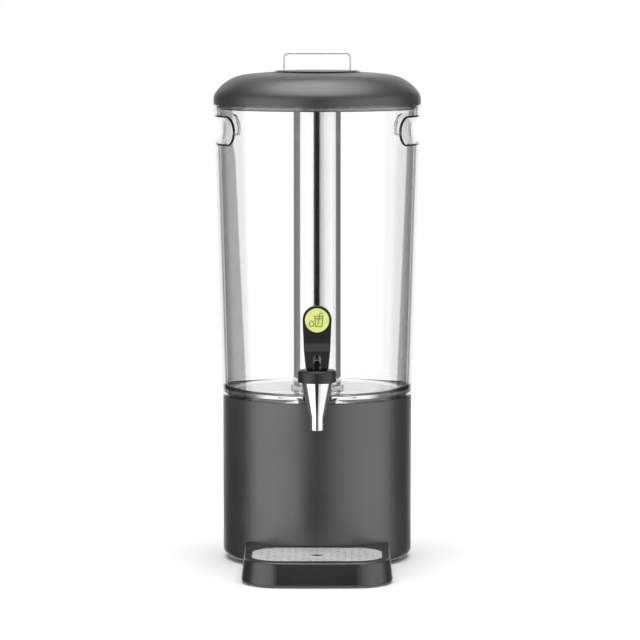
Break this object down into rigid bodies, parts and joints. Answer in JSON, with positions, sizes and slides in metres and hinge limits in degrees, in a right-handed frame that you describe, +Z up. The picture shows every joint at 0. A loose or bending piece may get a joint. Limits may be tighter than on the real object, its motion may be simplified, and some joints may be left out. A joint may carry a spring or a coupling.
{
  "type": "cold beverage dispenser",
  "caption": "Counter-top cold drinks dispenser with a clear tapered container, central ice tube, domed lid, lever tap, hollow pedestal and removable drip tray.",
  "frame": {"origin": "on the body's vertical axis, at the table level that the foot ring stands on", "axes": "+Z up along the body's axis, -Y towards the user, where the tap and drip tray are, +X to the right seen from the front"},
  "size_m": [0.2348, 0.3416, 0.575],
  "materials": {
    "black_plastic": "fine matte texture",
    "tap_plastic": "satin",
    "black_rubber": "matt",
    "clear_plastic": "polished clear plastic",
    "clear_silicone": "translucent",
    "mirror_steel": "mirror polished stainless steel",
    "satin_steel": "satin stainless steel",
    "steel": "plain stainless steel",
    "badge_green": "gloss lime green"
  },
  "bodies": {
    "pedestal": {"base_shell": "black_plastic", "foot_ring": "black_rubber", "base_plate": "black_plastic", "base_screws": "steel", "deck_plate": "satin_steel"},
    "vessel": {"container": "clear_plastic", "tap_body": "mirror_steel", "spout": "mirror_steel", "outer_gasket": "clear_silicone", "inner_gasket": "clear_silicone", "shank_nut": "steel", "bonnet": "tap_plastic", "stem_seal": "black_rubber", "tap_spring": "steel"},
    "valve": {"stem": "tap_plastic", "seat_cup": "clear_silicone"},
    "tap_lever": {"lever": "tap_plastic", "lever_pin": "steel", "badge": "badge_green"},
    "cover": {"lid": "black_plastic", "lid_liner": "black_plastic", "lid_gasket": "clear_silicone", "handle": "mirror_steel", "handle_screws": "steel", "liner_screws": "steel", "tube_holder": "black_plastic", "holder_screws": "steel"},
    "ice_insert": {"ice_tube": "mirror_steel", "tube_collar": "black_plastic"},
    "tray": {"drip_tray": "black_plastic", "tray_feet": "black_rubber"},
    "drip_grill": {"grill": "satin_steel"}
  },
  "joints": [
    {"name": "vessel_lift", "type": "slide", "parent": "pedestal", "child": "vessel", "axis": [0, 0, 1], "range_m": [0, 0.03]},
    {"name": "valve_lift", "type": "slide", "parent": "vessel", "child": "valve", "axis": [0, 0, 1], "range_m": [0, 0.0048], "deforming": ["tap_spring"]},
    {"name": "lever_tip", "type": "hinge", "parent": "vessel", "child": "tap_lever", "pos_m": [0, -0.1596, 0.2353], "axis": [1, 0, 0], "range_deg": [0, 28], "stiffness_Nm_per_rad": 0.078, "springref_deg": -24.64},
    {"name": "lid_lift", "type": "slide", "parent": "vessel", "child": "cover", "axis": [0, 0, 1], "range_m": [0, 0.335]},
    {"name": "tube_twist", "type": "hinge", "parent": "cover", "child": "ice_insert", "pos_m": [0, 0, 0.52], "axis": [0, 0, 1], "range_deg": [0, 40]},
    {"name": "tray_pull", "type": "slide", "parent": "pedestal", "child": "tray", "axis": [0, -1, 0], "range_m": [0, 0.12]},
    {"name": "grill_lift", "type": "slide", "parent": "tray", "child": "drip_grill", "axis": [0, 0, 1], "range_m": [0, 0.04]}
  ],
  "couplings": [
    {"joint": "valve_lift", "follows": "lever_tip", "m_per_rad": 0.0093}
  ]
}
